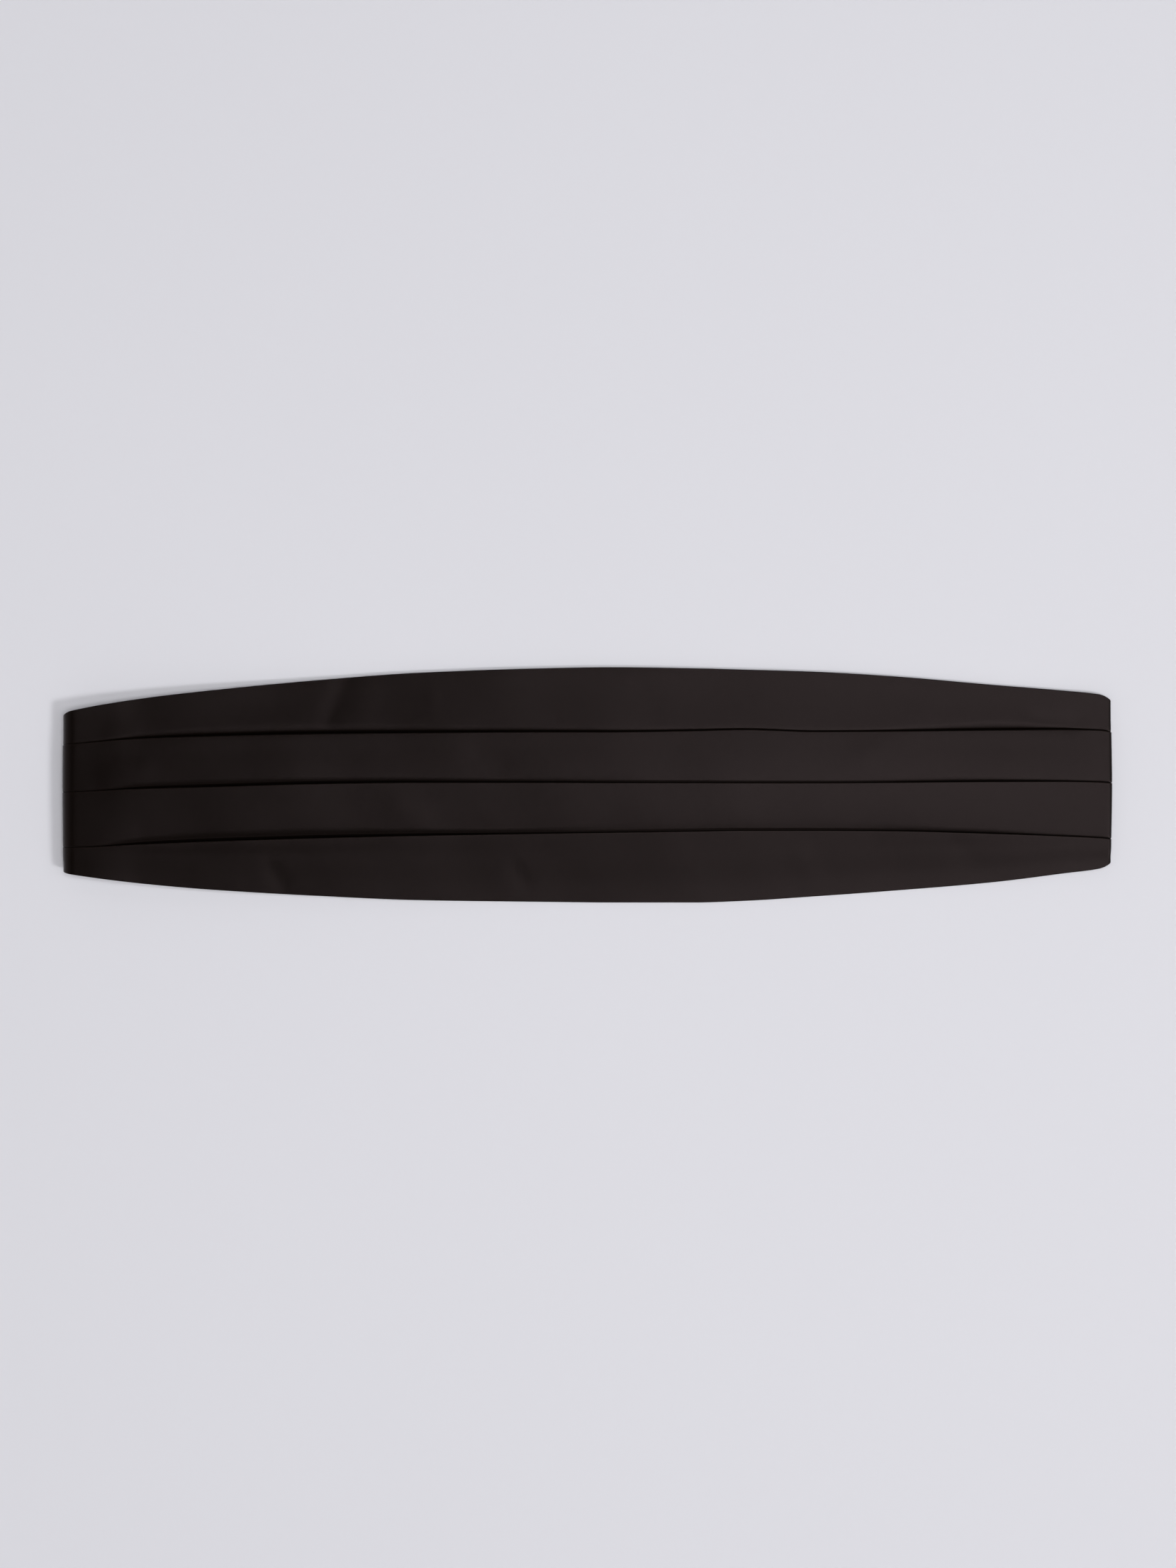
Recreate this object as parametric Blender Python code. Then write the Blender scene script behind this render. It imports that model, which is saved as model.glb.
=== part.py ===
"""A pleated cummerbund, fastened behind and laid flat on its back, with its ends folded under.

Metres, +Z up. X runs along the waist, +Y towards the top hem, and the garment lies on the plane Z = 0.
"""

import math

import bmesh
import bpy
from mathutils import Vector

# Driving sizes of the laid garment
LAID_LENGTH = 0.580  # from end fold to end fold
LEFT_HEIGHT = 0.012  # how high each end fold springs up
RIGHT_HEIGHT = 0.0082
RETURN_LENGTH = 0.060  # pleated cloth that lies under each end

# The cloth, and the room between two layers of it
CLOTH = 0.0010
GAP = 0.0003
PITCH = CLOTH + GAP
PANEL = 3 * CLOTH + 2 * GAP  # a pleat is three layers
HEM = 0.010  # turned under along the top and the bottom
HEM_SHARE = 0.4  # of its band, where the band is too low for the full hem
DIP = 0.005  # where a band drops to pass under the fold below it
DIP_SHAPE = ((0.35, 0.24), (0.70, 0.80), (1.0, 1.0))  # shares of its width and of its rise
BAND_SLACK = 0.001  # between a dip and the hidden edge of the next pleat
HEM_SLACK = 0.004  # between the bottom hem and the lowest pleat


class EndFold:
    """One end of the panel: a half turn about an axis along Y, and the return that lies under it."""

    def __init__(self, height):
        self.outer = height / 2
        self.inner = self.outer - PANEL
        self.x = LAID_LENGTH / 2 - self.outer
        self.arc = math.pi * (self.inner + PANEL / 2)
        self.quarter_turn = self.x + self.arc / 2
        self.cloth_end = self.x + self.arc + RETURN_LENGTH
        self.tip_x = self.x - RETURN_LENGTH
        self.bed = self.outer + self.inner


LEFT = EndFold(LEFT_HEIGHT)
RIGHT = EndFold(RIGHT_HEIGHT)

# The panel's cut, a row for each section: its distance along the cloth from the middle, then how high on the
# garment the top hem, the three pleat folds and the bottom hem lie
OUTLINE_COLUMNS = ("along", "top", "fold_1", "fold_2", "fold_3", "bottom")
OUTLINE = (
    (-LEFT.cloth_end, 0.0340, 0.0180, -0.0030, -0.0260, -0.0410),
    (-LEFT.quarter_turn, 0.0387, 0.0227, -0.0032, -0.0338, -0.0480),
    (-LEFT.x, 0.0413, 0.0232, -0.0031, -0.0337, -0.0494),
    (-0.246, 0.0479, 0.0264, -0.0013, -0.0318, -0.0543),
    (-0.207, 0.0524, 0.0276, -0.0004, -0.0303, -0.0578),
    (-0.148, 0.0580, 0.0289, 0.0014, -0.0285, -0.0613),
    (-0.092, 0.0623, 0.0296, 0.0020, -0.0271, -0.0637),
    (-0.020, 0.0645, 0.0297, 0.0017, -0.0262, -0.0647),
    (0.012, 0.0650, 0.0297, 0.0015, -0.0258, -0.0650),
    (0.060, 0.0644, 0.0303, 0.0015, -0.0253, -0.0650),
    (0.087, 0.0637, 0.0309, 0.0015, -0.0248, -0.0641),
    (0.126, 0.0625, 0.0298, 0.0015, -0.0248, -0.0614),
    (0.165, 0.0603, 0.0301, 0.0016, -0.0251, -0.0585),
    (0.224, 0.0553, 0.0309, 0.0022, -0.0264, -0.0536),
    (0.263, 0.0521, 0.0309, 0.0023, -0.0279, -0.0489),
    (RIGHT.x, 0.0499, 0.0305, 0.0019, -0.0289, -0.0460),
    (RIGHT.quarter_turn, 0.0466, 0.0297, 0.0015, -0.0291, -0.0434),
    (RIGHT.cloth_end, 0.0390, 0.0230, 0.0015, -0.0220, -0.0370),
)

# The elastic strap, one length sewn under each end, and the flat clasp that joins them
STRAP_WIDTH = 0.030
STRAP_Y = -0.001
STRAP_LAP = 0.022  # sewn to the pleated end
STRAP_TURN_BACK = 0.020  # doubled behind the clasp
STRAP_DROP = ((0.0005, 1.0), (0.0045, 0.9), (0.0085, 0.5), (0.0125, 0.1), (0.0170, 0.0))  # past the tip, height
STRAP_BEND = 0.0012  # past the clasp bar, where the turned-back end starts to come down
CLASP_X = 0.085
METAL = 0.0012
TONGUE = 0.0010
BAR = 0.003  # width of every bar of the clasp
CLASP_Z = CLOTH + GAP + METAL / 2  # a bar has one layer of strap under it
HOOK_BAR_X = CLASP_X - 0.0175
EYE_BAR_X = CLASP_X + 0.0175
EYE_CATCH_X = CLASP_X + 0.0045
EYE_LENGTH = EYE_BAR_X - EYE_CATCH_X + BAR
HOOK_PLATE_END = CLASP_X + 0.0005
CLASP_WIDTH = STRAP_WIDTH + 0.001 + 2 * BAR
TONGUE_WIDTH = 0.014
TONGUE_ROOT = 0.006  # sunk in the hook's plate
TONGUE_CORNER = 0.0008
SLOT = 0.0035
PLATE_CORNER = 0.0022

# What the panel lies on, a row for each place along it: how high its inner face is at the hems and between them
RETURN_TOP = PANEL + GAP
STRAP_TOP = CLOTH + GAP
LAP_TOP = PANEL + GAP + CLOTH + GAP
CLASP_TOP = CLASP_Z + METAL / 2 + GAP + CLOTH + GAP
BED_COLUMNS = ("along", "hems", "middle")
BED = (
    (-LEFT.x, LEFT.bed, LEFT.bed),
    (-0.262, 0.0080, 0.0081),
    (-0.246, 0.0074, 0.0076),
    (-0.207, 0.0050, 0.0056),
    (-0.167, 0.0026, 0.0034),
    (-0.128, 0.0014, 0.0024),
    (-0.089, 0.0008, 0.0018),
    (0.000, 0.0, STRAP_TOP),
    (0.028, 0.0, STRAP_TOP),
    (0.060, 0.0, CLASP_TOP),
    (0.110, 0.0, CLASP_TOP),
    (0.142, 0.0, STRAP_TOP),
    (0.165, 0.0, STRAP_TOP),
    (0.226, RETURN_TOP, LAP_TOP + 0.0001),
    (0.252, RETURN_TOP + 0.0002, LAP_TOP + 0.0001),
    (RIGHT.x, RIGHT.bed, RIGHT.bed),
)
CROWN_FLAT = 0.021  # the panel stays up this far from its middle line
CROWN_FOOT = 0.052  # and is down at the hems' level here

# Sections of the laid run, and how finely the folds and the returns are divided
RUN_STATIONS = (
    -LEFT.x, -0.270, -0.250, -0.226, -0.204, -0.180, -0.150, -0.115, -0.075, -0.030, 0.012,
    0.044, 0.062, 0.087, 0.110, 0.135, 0.165, 0.190, 0.214, 0.234, 0.252, 0.270, RIGHT.x,
)  # fmt: skip
FOLD_STEPS = 5
RETURN_STEPS = 2

SILK_BLACK = (0.012, 0.010, 0.0095, 1.0)
ELASTIC_BLACK = (0.016, 0.015, 0.015, 1.0)
BLACK_NICKEL = (0.10, 0.10, 0.105, 1.0)


def clear_scene():
    for obj in list(bpy.data.objects):
        bpy.data.objects.remove(obj)


def material(name, colour, roughness, metallic=0.0):
    made = bpy.data.materials.new(name)
    made.use_nodes = True
    shader = made.node_tree.nodes["Principled BSDF"]
    shader.inputs["Base Color"].default_value = colour
    shader.inputs["Roughness"].default_value = roughness
    shader.inputs["Metallic"].default_value = metallic
    return made


def smoothstep(share):
    share = min(1.0, max(0.0, share))
    return share * share * (3 - 2 * share)


def read_table(rows, columns, column, at):
    """The column's value at a distance along the cloth, on a smooth curve that never overshoots its rows."""
    place = columns.index(column)
    xs = [row[0] for row in rows]
    ys = [row[place] for row in rows]
    at = min(xs[-1], max(xs[0], at))
    i = max(k for k in range(len(xs) - 1) if xs[k] <= at)
    steps = [xs[k + 1] - xs[k] for k in range(len(xs) - 1)]
    slopes = [(ys[k + 1] - ys[k]) / steps[k] for k in range(len(steps))]

    def tangent(k):
        if k in (0, len(xs) - 1):
            return slopes[min(k, len(slopes) - 1)]
        before, after = slopes[k - 1], slopes[k]
        return 0.0 if before * after <= 0 else 2 * before * after / (before + after)

    t = (at - xs[i]) / steps[i]
    return (
        ys[i] * (1 + 2 * t) * (1 - t) ** 2
        + tangent(i) * steps[i] * t * (1 - t) ** 2
        + ys[i + 1] * t * t * (3 - 2 * t)
        + tangent(i + 1) * steps[i] * t * t * (t - 1)
    )


def end_fold(along):
    return LEFT if along < 0 else RIGHT


def bed(along, across):
    """Height of the panel's inner face on the laid run, which sinks from the strap to the hems."""
    hems = read_table(BED, BED_COLUMNS, "hems", along)
    middle = read_table(BED, BED_COLUMNS, "middle", along)
    crown = 1 - smoothstep((abs(across) - CROWN_FLAT) / (CROWN_FOOT - CROWN_FLAT))
    return hems + (middle - hems) * crown


def lay(along, across, lift):
    """Where a point of the cloth lies, with its lift measured outwards from the panel's inner face."""
    side = math.copysign(1.0, along)
    end = end_fold(along)
    beyond = abs(along) - end.x
    if beyond <= 0:
        return Vector((along, across, bed(along, across) + lift))
    if beyond < end.arc:
        turn = math.pi * beyond / end.arc
        reach = end.inner + lift
        return Vector((side * (end.x + reach * math.sin(turn)), across, end.outer + reach * math.cos(turn)))
    return Vector((side * (end.x - (beyond - end.arc)), across, PANEL - lift))


def turn_round(edge, level, facing, rising):
    """Four points of a hairpin whose outer edge is at a height on the garment: facing +1 opens downwards.

    It joins the layer at level to the next one, above it if rising is +1 and below it if -1.
    """
    radius = PITCH / 2
    centre = edge - facing * (radius + CLOTH / 2)
    middle = level + rising * radius
    points = []
    for degrees in (-90, -30, 30, 90):
        angle = math.radians(degrees)
        across = centre + facing * radius * math.cos(angle)
        points.append((across, middle + rising * radius * math.sin(angle)))
    return points


def pleat_section(along):
    """The middle line of the cloth across the garment at one section, from hem to hem, as (across, lift)."""
    cut = {name: read_table(OUTLINE, OUTLINE_COLUMNS, name, along) for name in OUTLINE_COLUMNS[1:]}
    folds = (cut["fold_3"], cut["fold_2"], cut["fold_1"])
    low = CLOTH / 2
    second = low + PITCH
    high = second + PITCH
    # Under the ends all the outer layers lie level, pressed on the table
    end = end_fold(along)
    pressed = smoothstep((abs(along) - end.x) / end.arc)
    hemmed = second + PITCH * pressed

    bottom_band = folds[0] - cut["bottom"]
    bottom_hem = min(HEM, HEM_SHARE * bottom_band)
    depths = [bottom_band - bottom_hem - HEM_SLACK]
    depths += [fold - below - DIP - BAND_SLACK for below, fold in zip(folds, folds[1:])]

    line = [(cut["bottom"] + bottom_hem, hemmed - PITCH)]
    line += turn_round(cut["bottom"], hemmed - PITCH, -1, 1)
    line.append((cut["bottom"] + bottom_hem, hemmed))
    line.append((folds[0] - depths[0] - BAND_SLACK, high))
    for fold, depth in zip(folds, depths):
        next_band = hemmed if fold == folds[-1] else high
        line.append(((fold + line[-1][0]) / 2, high))
        line += turn_round(fold, high, 1, -1)
        line.append((fold - depth / 2, second))
        line += turn_round(fold - depth, second, -1, -1)
        line.append((fold - depth / 2, low))
        line.append((fold, low))
        line += [(fold + out * DIP, low + rise * (next_band - low)) for out, rise in DIP_SHAPE]

    top_hem = min(HEM, HEM_SHARE * (cut["top"] - folds[-1]))
    line.append((cut["top"] - top_hem, hemmed))
    line += turn_round(cut["top"], hemmed, 1, -1)
    line.append((cut["top"] - top_hem, hemmed - PITCH))
    return line


def stations():
    """Every section along the cloth, from the tip of one return to the tip of the other."""
    around = []
    for end in (LEFT, RIGHT):
        places = [end.x + end.arc * step / FOLD_STEPS for step in range(1, FOLD_STEPS + 1)]
        turned = places[-1]
        places += [turned + RETURN_LENGTH * step / RETURN_STEPS for step in range(1, RETURN_STEPS + 1)]
        around.append(places)
    left, right = around
    return [-along for along in reversed(left)] + list(RUN_STATIONS) + right


def sheet_object(name, rows, thickness, finish):
    """A cloth or metal wall on a grid of places, a row of them for each section."""
    mesh = bpy.data.meshes.new(name)
    grid = bmesh.new()
    across, along = len(rows[0]), len(rows)
    bmesh.ops.create_grid(grid, x_segments=across - 1, y_segments=along - 1, size=0.5)
    for vert in grid.verts:
        column = round((vert.co.x + 0.5) * (across - 1))
        row = round((vert.co.y + 0.5) * (along - 1))
        vert.co = rows[row][column]
    grid.to_mesh(mesh)
    grid.free()
    mesh.materials.append(finish)
    mesh.shade_smooth()
    obj = bpy.data.objects.new(name, mesh)
    bpy.context.scene.collection.objects.link(obj)
    wall = obj.modifiers.new("wall", "SOLIDIFY")
    wall.thickness = thickness
    wall.offset = 0.0
    return obj


def strap_line(tip_x, side, bar_x):
    """The middle line of one strap as (x, z): off the pleated end, down to the table and round its bar."""
    lapped = PANEL + GAP + CLOTH / 2
    flat = CLOTH / 2
    doubled = flat + PITCH
    round_bar = CLASP_Z - flat
    line = [(tip_x + side * STRAP_LAP, lapped)]
    line += [(tip_x - side * out, flat + (lapped - flat) * share) for out, share in STRAP_DROP]
    inner = bar_x - side * BAR / 2
    line.append((bar_x + side * STRAP_TURN_BACK, flat))
    line.append((bar_x + side * BAR, flat))
    for degrees in (-90, -45, 0, 45, 90):
        angle = math.radians(degrees)
        reach = (GAP + CLOTH / 2) * math.cos(angle)
        line.append((inner - side * reach, CLASP_Z + round_bar * math.sin(angle)))
    line.append((bar_x + side * BAR / 2, CLASP_Z + round_bar))
    line.append((bar_x + side * (2 * BAR + STRAP_BEND), doubled))
    line.append((bar_x + side * STRAP_TURN_BACK, doubled))
    return line


def extruded_rows(line, middle_y, width):
    half = width / 2
    return [[Vector((x, middle_y - half, z)), Vector((x, middle_y + half, z))] for x, z in line]


def block(name, low, high, finish=None):
    """A plain block between two corners."""
    mesh = bpy.data.meshes.new(name)
    cube = bmesh.new()
    bmesh.ops.create_cube(cube, size=1.0)
    low, high = Vector(low), Vector(high)
    for vert in cube.verts:
        vert.co = [low[k] + (high[k] - low[k]) * (vert.co[k] + 0.5) for k in range(3)]
    cube.to_mesh(mesh)
    cube.free()
    if finish:
        mesh.materials.append(finish)
    obj = bpy.data.objects.new(name, mesh)
    bpy.context.scene.collection.objects.link(obj)
    return obj


def as_helper(obj):
    obj.hide_render = True
    obj.display_type = "WIRE"
    return obj


def combine(obj, other, operation):
    change = obj.modifiers.new(other.name, "BOOLEAN")
    change.operation = operation
    change.object = as_helper(other)


def clasp_plate(name, x_from, x_to, finish):
    half = CLASP_WIDTH / 2
    low_z, high_z = CLASP_Z - METAL / 2, CLASP_Z + METAL / 2
    plate = block(name, (x_from, STRAP_Y - half, low_z), (x_to, STRAP_Y + half, high_z), finish)
    corners = plate.modifiers.new("rounded corners", "BEVEL")
    corners.limit_method = "WEIGHT"
    corners.width = PLATE_CORNER
    corners.segments = 3
    weights = plate.data.attributes.new("bevel_weight_edge", "FLOAT", "EDGE")
    for edge in plate.data.edges:
        ends = [plate.data.vertices[v].co for v in edge.vertices]
        upright = abs(ends[0].z - ends[1].z) > METAL / 2
        weights.data[edge.index].value = 1.0 if upright else 0.0
    return plate


def cut_slot(plate, name, x_from, x_to):
    half = CLASP_WIDTH / 2 - BAR
    deep = 2 * METAL
    cutter = block(name, (x_from, STRAP_Y - half, CLASP_Z - deep), (x_to, STRAP_Y + half, CLASP_Z + deep))
    combine(plate, cutter, "DIFFERENCE")


def build_clasp(finish):
    """A slotted plate with a flat hook, and the eye that the hook is caught in."""
    bar_edge = HOOK_BAR_X + BAR / 2
    hook = clasp_plate("clasp_hook", HOOK_BAR_X - BAR / 2, HOOK_PLATE_END, finish)
    cut_slot(hook, "hook_slot", bar_edge, bar_edge + SLOT)
    over = CLASP_Z + METAL / 2 + GAP + TONGUE / 2
    under = TONGUE / 2
    catch_near = EYE_CATCH_X - BAR / 2 - GAP
    catch_far = EYE_CATCH_X + BAR / 2 + GAP + TONGUE / 2
    line = (
        (HOOK_PLATE_END - TONGUE_ROOT, CLASP_Z),
        (HOOK_PLATE_END - METAL, CLASP_Z),
        (catch_near, over),
        (catch_far - TONGUE_CORNER, over),
        (catch_far, over - TONGUE_CORNER),
        (catch_far, under + TONGUE_CORNER),
        (catch_far - TONGUE_CORNER, under),
        (catch_near, under),
    )
    tongue = sheet_object("hook_tongue", extruded_rows(line, STRAP_Y, TONGUE_WIDTH), TONGUE, finish)
    combine(hook, tongue, "UNION")
    eye = clasp_plate("clasp_eye", EYE_CATCH_X - BAR / 2, EYE_CATCH_X - BAR / 2 + EYE_LENGTH, finish)
    cut_slot(eye, "eye_window", EYE_CATCH_X + BAR / 2, EYE_BAR_X - BAR / 2)


def build():
    clear_scene()
    silk = material("pleated silk", SILK_BLACK, 0.55)
    elastic = material("strap elastic", ELASTIC_BLACK, 0.8)
    nickel = material("clasp metal", BLACK_NICKEL, 0.35, 1.0)

    panel_rows = []
    for along in stations():
        panel_rows.append([lay(along, across, lift) for across, lift in pleat_section(along)])
    sheet_object("pleated_front", panel_rows, CLOTH, silk)

    left = strap_line(-LEFT.tip_x, -1, HOOK_BAR_X)
    right = strap_line(RIGHT.tip_x, 1, EYE_BAR_X)
    sheet_object("strap_left", extruded_rows(left, STRAP_Y, STRAP_WIDTH), CLOTH, elastic)
    sheet_object("strap_right", extruded_rows(right, STRAP_Y, STRAP_WIDTH), CLOTH, elastic)
    build_clasp(nickel)


build()
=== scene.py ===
import math

import bmesh
import bpy
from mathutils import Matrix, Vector


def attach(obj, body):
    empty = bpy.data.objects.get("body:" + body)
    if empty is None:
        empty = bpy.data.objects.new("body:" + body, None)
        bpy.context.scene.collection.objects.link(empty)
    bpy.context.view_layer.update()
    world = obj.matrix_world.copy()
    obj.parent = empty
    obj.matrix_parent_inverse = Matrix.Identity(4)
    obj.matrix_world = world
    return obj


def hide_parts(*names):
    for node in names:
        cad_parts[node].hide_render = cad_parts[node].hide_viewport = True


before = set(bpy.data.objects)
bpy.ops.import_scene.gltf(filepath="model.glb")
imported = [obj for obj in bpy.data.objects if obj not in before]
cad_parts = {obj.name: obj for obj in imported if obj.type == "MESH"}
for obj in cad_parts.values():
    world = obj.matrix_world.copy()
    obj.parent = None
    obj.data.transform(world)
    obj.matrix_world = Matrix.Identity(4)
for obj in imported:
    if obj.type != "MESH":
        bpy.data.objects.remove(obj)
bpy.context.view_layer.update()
print("frame loaded")

# +X runs along the waist, +Y up to the top hem, and the garment lies on the table at z 0.
# Tables are in millimetres and everything built is in metres.
mm = 0.001


def smoothStep(share):
    share = min(1.0, max(0.0, share))
    return share * share * (3 - 2 * share)


def blendTo(a, b, share):
    return a + (b - a) * share


# One column of a table as a smooth curve, which never overshoots its rows
def curveOf(table, column):
    place = table["columns"].index(column)
    xs = [row[0] * mm for row in table["rows"]]
    ys = [row[place] * mm for row in table["rows"]]
    steps = [b - a for a, b in zip(xs, xs[1:])]
    slopes = [(b - a) / step for a, b, step in zip(ys, ys[1:], steps)]
    bends = [slopes[0]]
    for before, after in zip(slopes, slopes[1:]):
        bends.append(0.0 if before * after <= 0 else 2 * before * after / (before + after))
    bends.append(slopes[-1])

    def value(at):
        at = min(xs[-1], max(xs[0], at))
        i = max(k for k in range(len(steps)) if xs[k] <= at)
        t = (at - xs[i]) / steps[i]
        return (
            ys[i] * (1 + 2 * t) * (1 - t) ** 2
            + bends[i] * steps[i] * t * (1 - t) ** 2
            + ys[i + 1] * t * t * (3 - 2 * t)
            + bends[i + 1] * steps[i] * t * t * (t - 1)
        )

    return value


def newGroup(name, inputs, outputs):
    group = bpy.data.node_groups.new(name, "ShaderNodeTree")
    for socketName, kind, default in inputs:
        socket = group.interface.new_socket(socketName, in_out="INPUT", socket_type=kind)
        if default is not None:
            socket.default_value = default
    for socketName, kind in outputs:
        group.interface.new_socket(socketName, in_out="OUTPUT", socket_type=kind)
    return group, group.nodes.new("NodeGroupInput"), group.nodes.new("NodeGroupOutput")


def addMath(tree, operation, first, second):
    node = tree.nodes.new("ShaderNodeMath")
    node.operation = operation
    for place, value in enumerate((first, second)):
        if isinstance(value, (int, float)):
            node.inputs[place].default_value = value
        else:
            tree.links.new(value, node.inputs[place])
    return node.outputs[0]


# Fine threads on the cloth's own UV map, which is in metres of flat cloth
def threadGroup():
    group, enter, leave = newGroup(
        "cloth threads",
        [
            ("UV", "NodeSocketVector", None),
            ("Thread", "NodeSocketFloat", 0.0003),
            ("Slub", "NodeSocketFloat", 0.3),
        ],
        [("Height", "NodeSocketFloat"), ("Slub", "NodeSocketFloat")],
    )
    split = group.nodes.new("ShaderNodeSeparateXYZ")
    group.links.new(enter.outputs["UV"], split.inputs[0])
    turns = addMath(group, "DIVIDE", 2 * math.pi, enter.outputs["Thread"])
    alongWave = addMath(group, "SINE", addMath(group, "MULTIPLY", split.outputs[0], turns), 0)
    acrossWave = addMath(group, "SINE", addMath(group, "MULTIPLY", split.outputs[1], turns), 0)
    weave = addMath(group, "MULTIPLY", alongWave, acrossWave)
    stretch = group.nodes.new("ShaderNodeMapping")
    stretch.inputs["Scale"].default_value = (90.0, 1500.0, 1.0)  # slubs are long and thin
    group.links.new(enter.outputs["UV"], stretch.inputs["Vector"])
    slub = group.nodes.new("ShaderNodeTexNoise")
    slub.inputs["Scale"].default_value = 1.0
    slub.inputs["Detail"].default_value = 2.0
    group.links.new(stretch.outputs[0], slub.inputs["Vector"])
    slubs = addMath(group, "MULTIPLY", slub.outputs["Fac"], enter.outputs["Slub"])
    halfWeave = addMath(group, "MULTIPLY", weave, 0.5)
    group.links.new(addMath(group, "ADD", halfWeave, slubs), leave.inputs["Height"])
    group.links.new(slub.outputs["Fac"], leave.inputs["Slub"])
    return group


# Broad, soft unevenness of tone, from wear and pressing
def unevenGroup():
    group, enter, leave = newGroup(
        "uneven tone",
        [
            ("Place", "NodeSocketVector", None),
            ("Per metre", "NodeSocketFloat", 12.0),
            ("Spread", "NodeSocketFloat", 0.2),
        ],
        [("Factor", "NodeSocketFloat")],
    )
    noise = group.nodes.new("ShaderNodeTexNoise")
    noise.inputs["Detail"].default_value = 3.0
    noise.inputs["Roughness"].default_value = 0.55
    group.links.new(enter.outputs["Place"], noise.inputs["Vector"])
    group.links.new(enter.outputs["Per metre"], noise.inputs["Scale"])
    centred = addMath(group, "SUBTRACT", noise.outputs["Fac"], 0.5)
    spread = addMath(group, "MULTIPLY", addMath(group, "MULTIPLY", centred, 2.0), enter.outputs["Spread"])
    group.links.new(addMath(group, "ADD", spread, 1.0), leave.inputs["Factor"])
    return group


clothThreads = threadGroup()
unevenTone = unevenGroup()


def startMaterial(name):
    made = bpy.data.materials.new(name)
    made.use_nodes = True
    tree = made.node_tree
    return made, tree, tree.nodes["Principled BSDF"]


def placeGroup(tree, group, **values):
    node = tree.nodes.new("ShaderNodeGroup")
    node.node_tree = group
    for socketName, value in values.items():
        socket = node.inputs[socketName.replace("_", " ")]
        if isinstance(value, (int, float)):
            socket.default_value = value
        else:
            tree.links.new(value, socket)
    return node


def tinted(tree, colour, factor):
    node = tree.nodes.new("ShaderNodeVectorMath")
    node.operation = "SCALE"
    node.inputs[0].default_value = colour
    tree.links.new(factor, node.inputs["Scale"])
    return node.outputs[0]


silkFinish = {
    "colour": (0.0021, 0.0012, 0.0007),
    "roughness": 0.285,
    "specular": 0.25,
    "specularTint": (1.0, 0.79, 0.81),
    "sheen": 0.02,
    "sheenRoughness": 0.4,
    "thread": 0.00028,
    "threadRelief": 0.00002,
    "bumpStrength": 0.5,
    "unevenPerMetre": 9.0,
    "unevenSpread": 0.05,
    "slubSpread": 0.10,
    "edgeWearAndHighlight": 0.5,  # pressed fold and hem edges are painted this much lighter, as wear and as a painted highlight of their shine
}


def silkMaterial():
    made, tree, shader = startMaterial("black silk satin")
    uv = tree.nodes.new("ShaderNodeUVMap")
    uv.uv_map = "cloth"
    perMetre, spread = silkFinish["unevenPerMetre"], silkFinish["unevenSpread"]
    uneven = placeGroup(tree, unevenTone, Place=uv.outputs[0], Per_metre=perMetre, Spread=spread)
    threads = placeGroup(tree, clothThreads, UV=uv.outputs[0], Thread=silkFinish["thread"], Slub=0.5)
    edges = tree.nodes.new("ShaderNodeAttribute")
    edges.attribute_name = "foldEdge"
    slubs = addMath(tree, "MULTIPLY", threads.outputs["Slub"], silkFinish["slubSpread"])
    slubShade = addMath(tree, "ADD", slubs, 1 - silkFinish["slubSpread"] / 2)
    # Painted highlight: the base colour is lighter along pressed fold and hem edges, partly wear and partly
    # their shine
    wornAndHighlight = addMath(tree, "MULTIPLY", edges.outputs["Fac"], silkFinish["edgeWearAndHighlight"])
    edgeWearAndHighlightFactor = addMath(tree, "ADD", wornAndHighlight, 1.0)
    shade = addMath(tree, "MULTIPLY", uneven.outputs["Factor"], slubShade)
    shade = addMath(tree, "MULTIPLY", shade, edgeWearAndHighlightFactor)
    tree.links.new(tinted(tree, silkFinish["colour"], shade), shader.inputs["Base Color"])
    rough = addMath(tree, "MULTIPLY", uneven.outputs["Factor"], silkFinish["roughness"])
    tree.links.new(rough, shader.inputs["Roughness"])
    bump = tree.nodes.new("ShaderNodeBump")
    bump.inputs["Strength"].default_value = silkFinish["bumpStrength"]
    bump.inputs["Distance"].default_value = silkFinish["threadRelief"]
    tree.links.new(threads.outputs["Height"], bump.inputs["Height"])
    tree.links.new(bump.outputs[0], shader.inputs["Normal"])
    shader.inputs["Specular IOR Level"].default_value = silkFinish["specular"]
    shader.inputs["Specular Tint"].default_value = (*silkFinish["specularTint"], 1.0)
    shader.inputs["Sheen Weight"].default_value = silkFinish["sheen"]
    shader.inputs["Sheen Roughness"].default_value = silkFinish["sheenRoughness"]
    return made


elasticFinish = {
    "colour": (0.016, 0.0148, 0.0145),
    "roughness": 0.78,
    "rib": 0.0011,  # from one rib of the weave to the next
    "ribRelief": 0.00012,
    "bumpStrength": 0.8,
    "specular": 0.3,
    "sheen": 0.15,
}


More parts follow.
